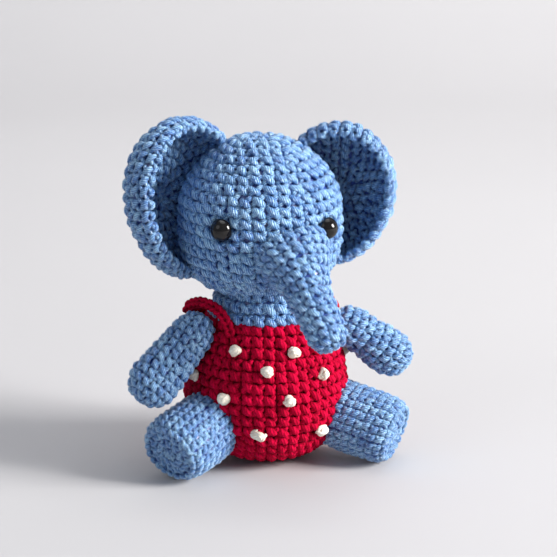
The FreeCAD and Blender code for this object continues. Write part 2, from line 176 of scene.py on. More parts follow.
class Builder:
    """Collects yarn strands and base skins, then makes one mesh of them."""

    def __init__(self):
        self.v, self.f, self.uv, self.yarn, self.rand = [], [], [], [], []
        self.count = 0
        self.strands = []
        self.skins = []

    def tubes(self, centre, up, radius, flat, sides, rand, twist=1.0):
        """centre (K, n, 3) mm, up (K, n, 3), radius (K, n), flat: height over width."""
        K, n, _ = centre.shape
        d = unit(np.gradient(centre, axis=1))
        b = unit(np.cross(d, up))
        nn = np.cross(b, d)
        ang = -math.pi / 2 + np.arange(sides) * TAU / sides
        ring = (np.cos(ang)[None, None, :, None] * b[:, :, None, :]
                + flat * np.sin(ang)[None, None, :, None] * nn[:, :, None, :])
        v = centre[:, :, None, :] + radius[:, :, None, None] * ring
        run = np.cumsum(np.r_[[np.zeros(K)], np.linalg.norm(np.diff(centre, axis=1), axis=2).T], axis=0).T
        self.strands.append((v, run, np.broadcast_to(np.asarray(rand)[:, None], (K, n)), sides, twist))

    def skin(self, grid, wrap=True, cap=True):
        """A closed skin from a grid of points (rows, columns, 3) whose rows go round."""
        self.skins.append(grid)

    def make(self, name, material, body, nodes, shade=None):
        V, F, L, UV, Y, R = [], [], [], [], [], []
        o = 0
        total = sum(s[0].shape[0] for s in self.strands)
        side = max(1, math.ceil(math.sqrt(total)))
        cell = 0
        base_share = 0.06 if self.skins else 0.0
        loops, sizes = [], []
        for v, run, rand, sides, twist in self.strands:
            K, n = v.shape[:2]
            idx = o + np.arange(K * n * sides).reshape(K, n, sides)
            a = idx[:, :-1, :]
            bb = np.roll(a, -1, axis=2)
            c = np.roll(idx[:, 1:, :], -1, axis=2)
            dd = idx[:, 1:, :]
            quads = np.stack([a, bb, c, dd], -1).reshape(-1, 4)
            loops.append(quads.ravel())
            sizes.append(np.full(len(quads), 4))
            # texture places: one small square of the sheet for each strand
            k = np.arange(cell, cell + K)
            cx, cy = (k % side) / side, (k // side) / side
            m = 0.10
            ia = np.arange(sides)
            ju = np.arange(n - 1)
            u0 = (m + (1 - 2 * m) * ia / sides)[None, None, :] / side
            u1 = (m + (1 - 2 * m) * (ia + 1) / sides)[None, None, :] / side
            v0 = (m + (1 - 2 * m) * ju / (n - 1))[None, :, None] / side
            v1 = (m + (1 - 2 * m) * (ju + 1) / (n - 1))[None, :, None] / side
            X, Yc = cx[:, None, None], cy[:, None, None]
            full = (K, n - 1, sides)
            uu = np.stack([np.broadcast_to(X + u0, full), np.broadcast_to(X + u1, full),
                           np.broadcast_to(X + u1, full), np.broadcast_to(X + u0, full)], -1)
            vv = np.stack([np.broadcast_to(Yc + v0, full), np.broadcast_to(Yc + v0, full),
                           np.broadcast_to(Yc + v1, full), np.broadcast_to(Yc + v1, full)], -1)
            UV.append(np.stack([uu, base_share + (1 - base_share) * vv], -1).reshape(-1, 2))
            # the two ends
            for ring, flip in ((idx[:, 0, :], True), (idx[:, -1, :], False)):
                r = ring[:, ::-1] if flip else ring
                loops.append(r.ravel())
                sizes.append(np.full(K, sides))
                uc = np.repeat(np.stack([cx + 0.5 / side, base_share + (1 - base_share) * (cy + 0.05 / side)], -1), sides, axis=0)
                spin = np.tile(np.stack([np.cos(np.arange(sides) * TAU / sides), np.sin(np.arange(sides) * TAU / sides)], -1),
                               (K, 1)) * (0.03 / side)
                UV.append(uc + spin)
            V.append(v.reshape(-1, 3))
            around = np.broadcast_to((np.arange(sides) / sides)[None, None, :], v.shape[:3])
            along = np.broadcast_to(run[:, :, None], v.shape[:3])
            Y.append(np.stack([along, around, np.full(v.shape[:3], twist)], -1).reshape(-1, 3))
            R.append(np.broadcast_to(rand[:, :, None], v.shape[:3]).reshape(-1))
            o += K * n * sides
            cell += K
        for grid in self.skins:
            rows, cols = grid.shape[:2]
            idx = o + np.arange(rows * cols).reshape(rows, cols)
            a = idx[:-1]
            bb = np.roll(a, -1, axis=1)
            c = np.roll(idx[1:], -1, axis=1)
            dd = idx[1:]
            quads = np.stack([a, dd, c, bb], -1).reshape(-1, 4)
            loops.append(quads.ravel())
            sizes.append(np.full(len(quads), 4))
            ci, ri = np.arange(cols), np.arange(rows - 1)
            m = 0.004
            u0 = np.broadcast_to((m + (1 - 2 * m) * ci / cols)[None, :], (rows - 1, cols))
            u1 = np.broadcast_to((m + (1 - 2 * m) * (ci + 1) / cols)[None, :], (rows - 1, cols))
            v0 = np.broadcast_to((0.003 + (base_share - 0.008) * ri / (rows - 1))[:, None], (rows - 1, cols))
            v1 = np.broadcast_to((0.003 + (base_share - 0.008) * (ri + 1) / (rows - 1))[:, None], (rows - 1, cols))
            UV.append(np.stack([np.stack([u0, u0, u1, u1], -1), np.stack([v0, v1, v1, v0], -1)], -1).reshape(-1, 2))
            for ring, flip in ((idx[0], False), (idx[-1], True)):
                r = ring[::-1] if flip else ring
                loops.append(r.ravel())
                sizes.append(np.full(1, cols))
                t = np.arange(cols) * TAU / cols
                UV.append(np.stack([0.5 + 0.002 * np.cos(t), base_share / 2 + 0.002 * np.sin(t)], -1))
            V.append(grid.reshape(-1, 3))
            # The skin gets twist -2 and around 0, by which the yarn material paints it darker as shade in the gaps.
            Y.append(np.tile([[0.0, 0.0, -2.0]], (rows * cols, 1)))
            R.append(np.zeros(rows * cols))
            o += rows * cols
        V = np.vstack(V) * MM
        loops, sizes = np.concatenate(loops), np.concatenate(sizes)
        me = bpy.data.meshes.new(name)
        me.vertices.add(len(V))
        me.vertices.foreach_set("co", V.astype(np.float32).ravel())
        me.loops.add(len(loops))
        me.loops.foreach_set("vertex_index", loops.astype(np.int32))
        me.polygons.add(len(sizes))
        starts = np.r_[0, np.cumsum(sizes)[:-1]]
        me.polygons.foreach_set("loop_start", starts.astype(np.int32))
        me.polygons.foreach_set("loop_total", sizes.astype(np.int32))
        me.polygons.foreach_set("use_smooth", np.ones(len(sizes), bool))
        me.update(calc_edges=True)
        uv = me.uv_layers.new(name="OFBake")
        uv.data.foreach_set("uv", np.vstack(UV).astype(np.float32).ravel())
        at = me.attributes.new("yarn", "FLOAT_VECTOR", "POINT")
        at.data.foreach_set("vector", np.vstack(Y).astype(np.float32).ravel())
        at = me.attributes.new("each", "FLOAT", "POINT")
        at.data.foreach_set("value", np.concatenate(R).astype(np.float32))
        me.validate()
        ob = bpy.data.objects.new(name, me)
        bpy.context.scene.collection.objects.link(ob)
        me.materials.append(material)
        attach(ob, body)
        if nodes:
            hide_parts(*nodes)
        print("%-18s %7d faces %6d strands" % (name, len(sizes), total))
        return ob


def crochet(bld, form, wide, tall, start=0.0, stop=None, turn=0.0, drift=0.06, seed=3, keep=None,
            size=1.0, flat=0.84, sides=8, segs=9, mirror=False, first=6, over=OVER, under=UNDER, radius=None,
            deep=None, counts=None, lift=0.78):
    """Rounds of single crochet over a form: wide x tall mm stitches between start and stop (mm along it)."""
    g = np.random.default_rng(seed)
    stop = form.length if stop is None else stop
    rows = max(1, int(round((stop - start) / tall)))
    h = (stop - start) / rows
    n_prev = None
    cells = []
    shift = turn
    for j in range(rows):
        lc = start + (j + 0.5) * h
        want = form.round_of(lc) / wide
        if counts is not None and counts(lc) is not None:
            n = counts(lc)
        elif n_prev is None or not 0.86 < want / n_prev < 1.14 or want < 12:
            n = max(first, int(round(want)))
        else:
            n = n_prev
        n_prev = n
        shift += drift / n * TAU
        i = np.arange(n)
        phi = (i + g.uniform(-0.05, 0.05, n)) * TAU / n + shift
        cells.append(np.stack([np.full(n, lc) + g.uniform(-0.05, 0.05, n) * h, phi, np.full(n, TAU / n), np.full(n, h)], 1))
    cells = np.vstack(cells)
    if keep is not None:
        mid, _ = form.at(cells[:, 0], cells[:, 1], np.zeros(len(cells)))
        ok = keep(mid, cells)
        cells = cells[ok]
    K = len(cells)
    real_w = np.empty(K)
    p0 = form.place(cells[:, 0], cells[:, 1] - cells[:, 2] / 2)
    p1 = form.place(cells[:, 0], cells[:, 1] + cells[:, 2] / 2)
    real_w = np.linalg.norm(p1 - p0, axis=1)
    rad = (radius if radius is not None else 0.292 * (h * wide) ** 0.5) * size
    crowd = np.clip(real_w / wide, 0.45, 1.1) ** 0.5
    deep = 1.15 * rad if deep is None else deep
    rand = g.uniform(0, 1, K)
    m = -1.0 if mirror else 1.0
    for ctrl, amp, r_scale, n in ((over, 1.0, 1.0, segs), (under, 1.0, 0.86, segs)):
        c = np.repeat(ctrl[None], K, 0).copy()
        c[:, :, :2] += g.normal(0, 0.034, c[:, :, :2].shape)
        c[:, :, :2] += g.normal(0, 0.045, (K, 1, 2))
        c[:, 1:-1, 2] += g.normal(0, 0.10, (K, c.shape[1] - 2))
        c[:, :, 2] += g.normal(0, 0.08, (K, 1))
        c = spread(c, n)
        s, t, hh = c[..., 0] * m, c[..., 1], c[..., 2] * amp
        phi = cells[:, 1:2] + s * cells[:, 2:3]
        l = cells[:, 0:1] - t * cells[:, 3:4]
        rr = rad * crowd[:, None] * g.normal(1, 0.045, (K, 1))
        q = np.linspace(0, 1, n)
        taper = (0.38 + 0.62 * np.sin(math.pi * np.clip(q, 0.02, 0.98)) ** 0.8)
        if r_scale == 1.0:
            taper = taper * (0.94 + 0.10 * np.sin(math.pi * (q - 0.12)))
        rr = rr * taper[None, :] * r_scale
        pos, nor = form.at(l, phi, hh * rad * lift - deep)
        bld.tubes(pos, nor, rr, flat, sides, rand + (0.13 if r_scale < 1.0 else 0.0), twist=m)
    return cells


def skin_of(bld, form, drop, rows=60, cols=64, start=0.0, stop=None):
    stop = form.length if stop is None else stop
    l = np.linspace(start + 0.02, stop - 0.02, rows)
    phi = np.arange(cols) * TAU / cols
    Lg, Pg = np.meshgrid(l, phi, indexing="ij")
    p, _ = form.at(Lg, Pg, np.full(Lg.shape, -drop))
    bld.skin(p)


# ------------------------------------------------------------------ materials


def nodes_of(name):
    m = bpy.data.materials.new(name)
    m.use_nodes = True
    nt = m.node_tree
    nt.nodes.clear()
    out = nt.nodes.new("ShaderNodeOutputMaterial")
    p = nt.nodes.new("ShaderNodeBsdfPrincipled")
    nt.links.new(p.outputs[0], out.inputs["Surface"])
    return m, nt, p


def node(nt, kind, **sets):
    n = nt.nodes.new(kind)
    for k, v in sets.items():
        setattr(n, k, v)
    return n


def maths(nt, op, a, b=None, clamp=False):
    n = node(nt, "ShaderNodeMath", operation=op, use_clamp=clamp)
    for i, x in enumerate((a, b)):
        if x is None:
            continue
        if isinstance(x, (int, float)):
            n.inputs[i].default_value = x
        else:
            nt.links.new(x, n.inputs[i])
    return n.outputs[0]


def yarn_material(name, dark, mid, light, plies=7, pitch=9.0, sheen=0.35, rough=0.62, bump=0.5, spec=0.5,
                  contrast=0.5, base=0.0, glow=(1, 1, 1), fleck_and_glint=0.7, ior=1.5, deep=0.00018, painted_top_light=0.3):
    """Plied yarn: the plies wind round each strand, with fibres, flecks and a soft sheen, plus painted light: strand
    tops painted lighter as highlights, undersides and gap skins painted darker as shade, flecks partly painted glints.
    """
    m, nt, p = nodes_of(name)
    at = node(nt, "ShaderNodeAttribute", attribute_name="yarn")
    each = node(nt, "ShaderNodeAttribute", attribute_name="each")
    sep = node(nt, "ShaderNodeSeparateXYZ")
    nt.links.new(at.outputs["Vector"], sep.inputs[0])
    along, around, twist = sep.outputs
    turn = maths(nt, "MULTIPLY", around, float(plies))
    lay = maths(nt, "MULTIPLY", maths(nt, "DIVIDE", along, pitch), float(plies))
    lay = maths(nt, "MULTIPLY", lay, twist)
    ph = maths(nt, "ADD", turn, maths(nt, "ADD", lay, maths(nt, "MULTIPLY", each.outputs["Fac"], 3.7)))
    wave = maths(nt, "SINE", maths(nt, "MULTIPLY", ph, TAU))
    ridge = maths(nt, "ADD", maths(nt, "MULTIPLY", wave, 0.5), 0.5)
    ridge = maths(nt, "POWER", ridge, 0.6)
    geo = node(nt, "ShaderNodeTexCoord")
    fine = node(nt, "ShaderNodeTexNoise")
    fine.inputs["Scale"].default_value = 1500.0
    fine.inputs["Detail"].default_value = 3.0
    nt.links.new(geo.outputs["Object"], fine.inputs["Vector"])
    broad = node(nt, "ShaderNodeTexNoise")
    broad.inputs["Scale"].default_value = 260.0
    broad.inputs["Detail"].default_value = 2.0
    nt.links.new(geo.outputs["Object"], broad.inputs["Vector"])
    comb = node(nt, "ShaderNodeCombineXYZ")
    nt.links.new(maths(nt, "MULTIPLY", ph, 3.5), comb.inputs[0])
    nt.links.new(maths(nt, "MULTIPLY", along, 0.55), comb.inputs[1])
    nt.links.new(maths(nt, "MULTIPLY", each.outputs["Fac"], 40.0), comb.inputs[2])
    fibre = node(nt, "ShaderNodeTexNoise")
    fibre.inputs["Scale"].default_value = 2.6
    fibre.inputs["Detail"].default_value = 3.0
    nt.links.new(comb.outputs[0], fibre.inputs["Vector"])
    # The fibre streaks and fine flecks are random fibre tone, set strong so that the lightest of them stand in for
    # glints: partly painted highlights.
    mix = maths(nt, "ADD", maths(nt, "MULTIPLY", ridge, 0.55 * contrast), maths(nt, "MULTIPLY", fibre.outputs["Fac"], 0.55))
    mix = maths(nt, "ADD", mix, maths(nt, "MULTIPLY", maths(nt, "SUBTRACT", fine.outputs["Fac"], 0.5), fleck_and_glint))
    mix = maths(nt, "ADD", mix, 0.30 - 0.40 * contrast)
    mix = maths(nt, "ADD", mix, maths(nt, "MULTIPLY", maths(nt, "SUBTRACT", each.outputs["Fac"], 0.5), 0.20))
    mix = maths(nt, "ADD", mix, maths(nt, "MULTIPLY", maths(nt, "SUBTRACT", broad.outputs["Fac"], 0.5), 0.40))
    # Painted light: the top of each strand (around 0.5) is painted lighter as a highlight and its underside (around 0)
    # darker as shade; the skins have around 0, so they too are painted darker as shade in the gaps.
    top = maths(nt, "SUBTRACT", 0.5, maths(nt, "MULTIPLY", maths(nt, "COSINE", maths(nt, "MULTIPLY", around, TAU)), 0.5))
    mix = maths(nt, "ADD", mix, maths(nt, "MULTIPLY", maths(nt, "SUBTRACT", top, 0.68), painted_top_light))
    # Painted shade: the skins (twist -2), which sit deep in the gaps between stitches, are darkened by base; base is 0
    # for every yarn made here.
    painted_gap_shade_mask = maths(nt, "LESS_THAN", twist, -1.5)
    mix = maths(nt, "SUBTRACT", mix, maths(nt, "MULTIPLY", painted_gap_shade_mask, base))
    ramp = node(nt, "ShaderNodeValToRGB")
    ramp.color_ramp.elements[0].position = 0.12
    ramp.color_ramp.elements[0].color = (*dark, 1)
    ramp.color_ramp.elements[1].position = 0.92
    ramp.color_ramp.elements[1].color = (*light, 1)
    e = ramp.color_ramp.elements.new(0.52)
    e.color = (*mid, 1)
    nt.links.new(mix, ramp.inputs["Fac"])
    nt.links.new(ramp.outputs["Color"], p.inputs["Base Color"])
    high = maths(nt, "ADD", ridge, maths(nt, "MULTIPLY", fibre.outputs["Fac"], 0.9))
    high = maths(nt, "ADD", high, maths(nt, "MULTIPLY", fine.outputs["Fac"], 0.35))
    bp = node(nt, "ShaderNodeBump")
    bp.inputs["Strength"].default_value = bump
    bp.inputs["Distance"].default_value = deep
    nt.links.new(high, bp.inputs["Height"])
    nt.links.new(bp.outputs["Normal"], p.inputs["Normal"])
    r = maths(nt, "ADD", maths(nt, "MULTIPLY", fibre.outputs["Fac"], 0.24), rough - 0.12)
    nt.links.new(r, p.inputs["Roughness"])
    p.inputs["Sheen Weight"].default_value = sheen
    p.inputs["Sheen Roughness"].default_value = 0.35
    p.inputs["Sheen Tint"].default_value = (*glow, 1)
    p.inputs["Specular IOR Level"].default_value = spec
    p.inputs["IOR"].default_value = ior
    return m


def srgb(r, g, b):
    f = lambda c: (c / 12.92 if c <= 0.04045 else ((c + 0.055) / 1.055) ** 2.4)
    return tuple(f(x / 255) for x in (r, g, b))


# Each ramp's light end also serves as the colour of the painted highlights on strand tops and flecks, and its dark end
# as that of the painted shade on undersides and gap skins.
BLUE = yarn_material("blue_yarn_mat", srgb(6, 52, 140), srgb(58, 124, 200), srgb(170, 217, 247), plies=8, pitch=8.0, sheen=0.45,
                     rough=0.36, bump=1.0, spec=1.0, contrast=0.85, glow=srgb(225, 240, 255), fleck_and_glint=0.9, ior=1.5, deep=0.00022,
                     painted_top_light=0.42)
RED = yarn_material("red_yarn_mat", srgb(84, 0, 22), srgb(172, 0, 42), srgb(216, 4, 62), plies=6, sheen=0.10, rough=0.85,
                    bump=0.8, spec=0.08, contrast=0.40, glow=srgb(255, 90, 130))
WHITE = yarn_material("white_yarn_mat", srgb(208, 196, 174), srgb(238, 229, 211), srgb(252, 247, 234), plies=5, sheen=0.2,
                      rough=0.75, bump=0.5, spec=0.3, glow=(1, 1, 1))


def hard_material(name, colour, rough, spec=0.5, coat=0.0, scale=400.0, spread=0.06, bump=0.02):
    """Moulded plastic with faint mottling and moulding marks."""
    m, nt, p = nodes_of(name)
    tc = node(nt, "ShaderNodeTexCoord")
    n1 = node(nt, "ShaderNodeTexNoise")
    n1.inputs["Scale"].default_value = scale
    n1.inputs["Detail"].default_value = 4.0
    nt.links.new(tc.outputs["Object"], n1.inputs["Vector"])
    ramp = node(nt, "ShaderNodeValToRGB")
    lo = tuple(max(0.0, c * (1 - spread) - 0.001) for c in colour)
    hi = tuple(min(1.0, c * (1 + spread) + 0.002) for c in colour)
    ramp.color_ramp.elements[0].position = 0.3
    ramp.color_ramp.elements[0].color = (*lo, 1)
    ramp.color_ramp.elements[1].position = 0.7
    ramp.color_ramp.elements[1].color = (*hi, 1)
    nt.links.new(n1.outputs["Fac"], ramp.inputs["Fac"])
    nt.links.new(ramp.outputs["Color"], p.inputs["Base Color"])
    r = maths(nt, "ADD", maths(nt, "MULTIPLY", n1.outputs["Fac"], 0.05), rough)
    nt.links.new(r, p.inputs["Roughness"])
    bp = node(nt, "ShaderNodeBump")
    bp.inputs["Strength"].default_value = bump
    bp.inputs["Distance"].default_value = 0.0001
    nt.links.new(n1.outputs["Fac"], bp.inputs["Height"])
    nt.links.new(bp.outputs["Normal"], p.inputs["Normal"])
    p.inputs["Specular IOR Level"].default_value = spec
    p.inputs["Coat Weight"].default_value = coat
    p.inputs["Coat Roughness"].default_value = 0.03
    return m


EYE = hard_material("eye_mat", (0.006, 0.0045, 0.004), 0.03, spec=0.42, bump=0.0)
WASHER = hard_material("washer_mat", (0.62, 0.62, 0.60), 0.4)
for side in ("left", "right"):
    for nm, mat in (("eye_", EYE), ("eye_washer_", WASHER)):
        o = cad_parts[nm + side]
        o.data.materials.clear()
        o.data.materials.append(mat)

# ------------------------------------------------------------------ head
HEAD = np.array([-2.5, 1.0, 90.0])
head_outline = [(0, 0), (1.2, 8.3), (4.2, 14.6), (8.9, 20.6), (14.6, 25.2), (21.0, 28.1), (28.0, 28.9),
                (35.0, 29.1), (42.0, 28.2), (48.0, 25.6), (52.2, 21.0), (54.4, 15.6), (55.0, 10.0), (55.0, 4.0)]
EYES = []
for ang, rise in ((-41.5, 0.012), (39.6, -0.04)):
    a = math.radians(ang)
    d = np.array([math.sin(a), -math.cos(a), rise])
    EYES.append(HEAD + d / np.linalg.norm(d) * 28.9)
head = Tube(head_outline, [HEAD + (0, 0, 28.7), HEAD - (0, 0, 30)], (-0.25, -0.97, 0), lumps=0.35, seed=11,
            dents=[(e, 5.8, 1.9) for e in EYES])
b = Builder()
crochet(b, head, 4.45, 4.03, seed=5, drift=0.04, size=1.06)
skin_of(b, head, 1.5, rows=70, cols=80)
head_ob = b.make("head_crochet", BLUE, "head", ["head_shell", "head_stuffing"])

# ------------------------------------------------------------------ trunk
t0, t1 = np.array([1.5, -26.5, 82.5]), np.array([8.2, -47.5, 59.0])
L = float(np.linalg.norm(t1 - t0))
trunk_outline = [(-4, 12.2), (0, 12.2), (4, 11.5), (9.5, 10.0), (14.5, 8.5), (20, 7.6), (L - 4, 7.0), (L, 6.7),
                 (L + 3.4, 5.9), (L + 5.7, 3.8), (L + 6.7, 0)]
du = (t1 - t0) / L
trunk = Tube([(a + 4, r) for a, r in trunk_outline], [t0 - du * 4, t1 + du * 8], (-0.3, -1, 1), lumps=0.2, seed=21,
             shape=lambda q, phi: (1.0 - 0.26 * np.maximum(0.0, np.cos(phi)) * np.clip(1.0 - 5.5 * q, 0, 1),
                                   1.0 + 0.15 * np.maximum(0.0, 1.0 - 3.5 * q) - 0.13 * np.maximum(0.0, 1.0 - 12 * q), 0.0))
b = Builder()
crochet(b, trunk, 3.95, 3.55, seed=22, drift=0.05, size=1.03)
skin_of(b, trunk, 1.05, rows=44, cols=48, start=1.4)
trunk_ob = b.make("trunk_crochet", BLUE, "trunk", ["trunk", "trunk_stuffing"])

# ------------------------------------------------------------------ ears
EARS = {"right": (-1, (-31.2, 3.0, 97.2), 28.7, 23.0, 32, 11), "left": (1, (26.6, 3.0, 95.9), 25.7, 20.6, 22, 8)}
for side, (sg, mid, tall, wide, turn_in, lean_out) in EARS.items():
    ring = [(0, 0), (1.2, .40), (4.4, .70), (8.4, .90), (13, .985), (17, .985), (20, .955), (20.9, .93), (20.7, .895),
            (19.6, .875), (17, .90), (13, .895), (9.6, .82), (6.6, .64), (4.2, .38), (3.0, .15), (2.6, 0)]
    lean = math.radians(lean_out) * sg
    t_in = math.radians(turn_in)
    d = np.array([-sg * math.sin(t_in), -math.cos(t_in), 0.0])
    c = np.array(mid) - d * 13
    ear = Tube([(a, r * tall) for a, r in ring], [c, c + d * 24], (math.sin(lean), 0, math.cos(lean)),
               shape=lambda q, phi, k=wide / tall: (1.0, k * (1 + 0.09 * np.cos(phi)), 0.0), lumps=0.3, seed=31 + sg)
    b = Builder()

    def outside_head(mid, cells):
        return np.linalg.norm(mid - HEAD, axis=1) > 26.5

    rim = float(ear.u[int(np.argmax(ear.along))])
    crochet(b, ear, 4.0, 3.7, stop=rim - 0.6, seed=33 + sg, drift=0.05, keep=outside_head, size=0.96, deep=0.7)
    crochet(b, ear, 3.9, 3.5, start=rim - 0.6, seed=37 + sg, drift=0.02, keep=outside_head, size=0.98, deep=0.7,
            over=reshape(OVER, 0.70, 1.06), under=reshape(UNDER, 0.78, 1.02))
    skin_of(b, ear, 0.9, rows=90, cols=72)
    b.make("ear_crochet_" + side, BLUE, "ear_" + side, ["ear_" + side])

# ------------------------------------------------------------------ body
body_outline = [(-3, 16.6), (0, 17.7), (2, 18.7), (6, 20.2), (10, 21.7), (18, 24.9), (26, 27.6), (34, 28.6), (42, 28.3),
                (49.8, 26.2), (56, 22.0), (60.2, 15.5), (62.4, 8.0), (62.9, 0)]


def belly(q, phi):
    """The body is a little fuller on the elephant's right."""
    return 1.0, 1.0 + 0.055 * np.maximum(0.0, -np.sin(phi)) * np.clip((q - 0.12) * 4, 0, 1), 0.0


body = Tube([(q + 3, r) for q, r in body_outline], [(0, 0, 66), (0, 0, 0)], (-0.25, -0.97, 0), lumps=0.35, seed=41,
            shape=belly)
split = float(np.interp(11.0, body.along, body.u))
b = Builder()
crochet(b, body, 4.05, 4.08, start=split, seed=42, drift=0.03, size=1.10, lift=0.68,
        over=reshape(OVER, 0.86, 0.92), under=reshape(UNDER, 0.95, 0.95, 0.9))
skin_of(b, body, 1.6, rows=64, cols=80, start=split - 1.0)
red_ob = b.make("body_red", RED, "torso", ["body_lower", "body_stuffing"])
b = Builder()
crochet(b, body, 4.2, 4.0, stop=split + 1.0, seed=43, drift=0.05, size=1.08)
skin_of(b, body, 1.5, rows=12, cols=64, stop=split + 0.6)
up_ob = b.make("body_blue", BLUE, "torso", ["body_upper"])

# ------------------------------------------------------------------ arms
for side, sh, hand, r in (("right", (-26.6, -6.5, 53.0), (-44.3, -12.3, 34.9), 9.1),
                          ("left", (26.6, -6.0, 50.5), (42.9, -9.0, 38.2), 8.3)):
    s0, s1 = np.array(sh), np.array(hand)
    n = float(np.linalg.norm(s1 - s0))
    d = (s1 - s0) / n
    arm_outline = [(-3.4, 0), (-3.1, 3.0), (-1.6, 5.2), (1.6, 6.8), (5.6, 7.6), (11, .88 * r), (n - 8, .94 * r), (n - 1, r),
                   (n + 2.6, .96 * r), (n + 6.2, .74 * r), (n + 8.3, .4 * r), (n + 8.9, 0)]
    arm = Tube([(a + 4, q) for a, q in arm_outline], [s0 - d * 4, s1 + d * 10], (0.1, -1, 0.35), lumps=0.3, seed=51)
    b = Builder()
    crochet(b, arm, 3.5, 3.3, seed=52, drift=0.05, start=1.0,
            over=reshape(OVER, 0.88, 1.05), under=reshape(UNDER, 0.90, 1.0))
    skin_of(b, arm, 1.25, rows=44, cols=44)
    o = b.make("arm_crochet_" + side, BLUE, "arm_" + side, ["arm_" + side, "arm_stuffing_" + side])

# ------------------------------------------------------------------ legs
for side, sg in (("right", -1), ("left", 1)):
    hip = np.array([sg * 20.85, -7.71, 17.70])
    d = np.array([sg * 0.7635, -0.5880, -0.2672])
    R = 12.9
    leg_outline = [(0, 11.2), (3, 12.2), (10, R - 0.2), (18, R), (22.6, R - 0.1), (25.0, R - 0.6), (26.9, R - 1.7), (27.5, R - 2.8), (27.2, R - 3.7), (26.8, R - 4.5), (27.1, R - 5.8),
                   (27.5, 3.4), (27.6, 0)]

    def flat_below(q, phi, sg=sg):
        low = np.clip((q - 0.3) / 0.25, 0, 1) * np.maximum(0.0, -np.cos(phi))
        return 1.0 - 0.115 * low, 1.0, np.stack([1.1 * sg * np.clip(q * 1.4, 0, 1)] + [0 * q] * 2, -1)

    leg = Tube(leg_outline, [hip - d * 1.5, hip + d * 30], (0, 0, 1), lumps=0.2, seed=61, shape=flat_below)
    sole = float(np.interp(R - 1.3, leg.radius[::-1][:150], leg.u[::-1][:150]))
    b = Builder()
    crochet(b, leg, 3.1, 3.0, seed=62, drift=0.04, stop=sole, lift=0.56, size=1.08,
            over=reshape(OVER, 0.86, 1.14), under=reshape(UNDER, 0.90, 1.10))
    crochet(b, leg, 3.1, 2.8, seed=63, drift=0.05, start=sole, lift=0.5, size=1.04)
    skin_of(b, leg, 1.0, rows=70, cols=70)
    o = b.make("leg_crochet_" + side, BLUE, "leg_" + side, ["leg_" + side, "leg_stuffing_" + side])


# ------------------------------------------------------------------ straps, knots, neck stitches and tail
def chain(bld, path, pitch, half, yarn, seed, out_from):
    """A crocheted chain cord: a row of V pairs on its outer face and another on its inner face."""
    g = np.random.default_rng(seed)
    line, total = smooth_line(path, 300)
    u = np.linspace(0, total, 300)
    n = int(round(total / pitch))
    step = total / n
    d = unit(np.gradient(line, axis=0))
    outw = unit(line - np.array(out_from))
    outw = unit(outw - (outw * d).sum(1)[:, None] * d)
    sidew = np.cross(d, outw)
    pick = lambda arr, s: np.stack([np.interp(np.clip(s, 0, total), u, arr[:, k]) for k in range(3)], -1)
    for face in (1.0, -1.0):
        for sgn in (1.0, -1.0):
            ctrl = np.array([(-0.55, 0.10, -0.2), (-0.30, 0.42, 0.55), (0.05, 0.85, 0.85), (0.38, 0.92, 0.65),
                             (0.66, 0.55, 0.25), (0.85, 0.15, -0.35)])
            c = np.repeat(ctrl[None], n, 0)
            c = c + g.normal(0, 0.04, c.shape)
            c = spread(c, 9)
            i = np.arange(n)[:, None] + 0.5 + (0.25 if face < 0 else 0.0)
            s = (i + c[..., 0]) * step
            base = pick(line, s)
            sd, ow = pick(sidew, s), pick(outw, s)
            pos = base + sd * (sgn * c[..., 1] * half)[..., None] + ow * (face * (0.35 + c[..., 2]) * yarn * 0.8)[..., None]
            q = np.linspace(0, 1, 9)
            rr = yarn * (0.55 + 0.45 * np.sin(math.pi * q) ** 0.7)[None, :] * g.normal(1, 0.05, (n, 1))
            bld.tubes(pos, ow * face, np.broadcast_to(rr, pos.shape[:2]).copy(), 0.85, 8, g.uniform(0, 1, n), twist=sgn)
    # the closed core that the loops lie on
    k = np.linspace(0, 299, 60).astype(int)
    t = np.arange(16) * TAU / 16
    core = line[k][:, None, :] + 0.62 * half * np.cos(t)[None, :, None] * sidew[k][:, None, :] \
        + 0.45 * half * np.sin(t)[None, :, None] * outw[k][:, None, :]
    bld.skin(core)


STRAPS = {"right": [(-17.0, -15.0, 50.4), (-18.6, -13.2, 55.4), (-21.5, -9.8, 59.3), (-25.9, -4.0, 60.3), (-29.2, 2.2, 57.3),
                    (-26.4, 8.8, 54.0), (-20.6, 13.0, 52.0), (-16.4, 15.8, 50.0)],
          "left": [(17.2, -14.8, 50.4), (19.6, -12.2, 54.0), (22.4, -7.6, 56.1), (24.0, -1.0, 56.5), (23.6, 6.0, 55.0),
                   (20.4, 12.0, 52.6), (16.4, 15.8, 50.0)]}
for side, path in STRAPS.items():
    b = Builder()
    chain(b, path, 2.2, 1.30, 0.78, 71 + len(path), (path[0][0] * 0.7, 0.0, 48.0))
    b.make("strap_crochet_" + side, RED, "torso", ["strap_" + side])

